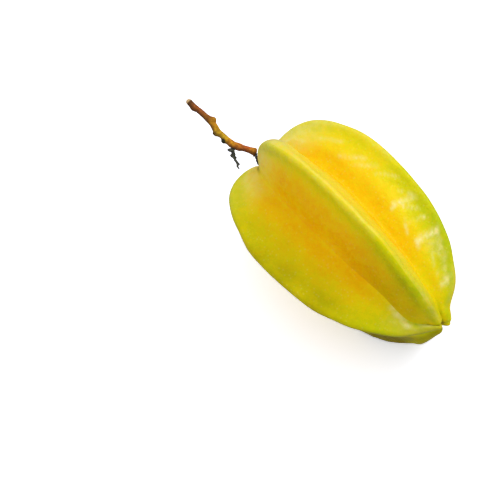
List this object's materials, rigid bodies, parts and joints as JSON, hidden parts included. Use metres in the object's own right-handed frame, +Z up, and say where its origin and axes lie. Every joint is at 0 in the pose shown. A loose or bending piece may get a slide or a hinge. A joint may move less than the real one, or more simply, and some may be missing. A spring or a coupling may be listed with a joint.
{
  "type": "star fruit",
  "caption": "Whole ripe star fruit with deep rounded ribs, a stem hollow and its short woody twig, lying on its side.",
  "frame": {"origin": "centre of the bounding box at the surface that the fruit lies on", "axes": "+X from the stem to the blossom end, +Y across the fruit, +Z up from the surface it lies on"},
  "size_m": [0.1516, 0.0722, 0.0708],
  "materials": {
    "fruit_skin": "waxy, softly glossy fruit skin",
    "bark": "rough young bark",
    "black_stalk": "dull dry stalk",
    "withered_stalk": "dull withered stalk"
  },
  "bodies": {
    "root": {"fruit": "fruit_skin", "twig": "bark", "pedicel": "black_stalk", "dried_stalk": "withered_stalk"}
  },
  "joints": []
}
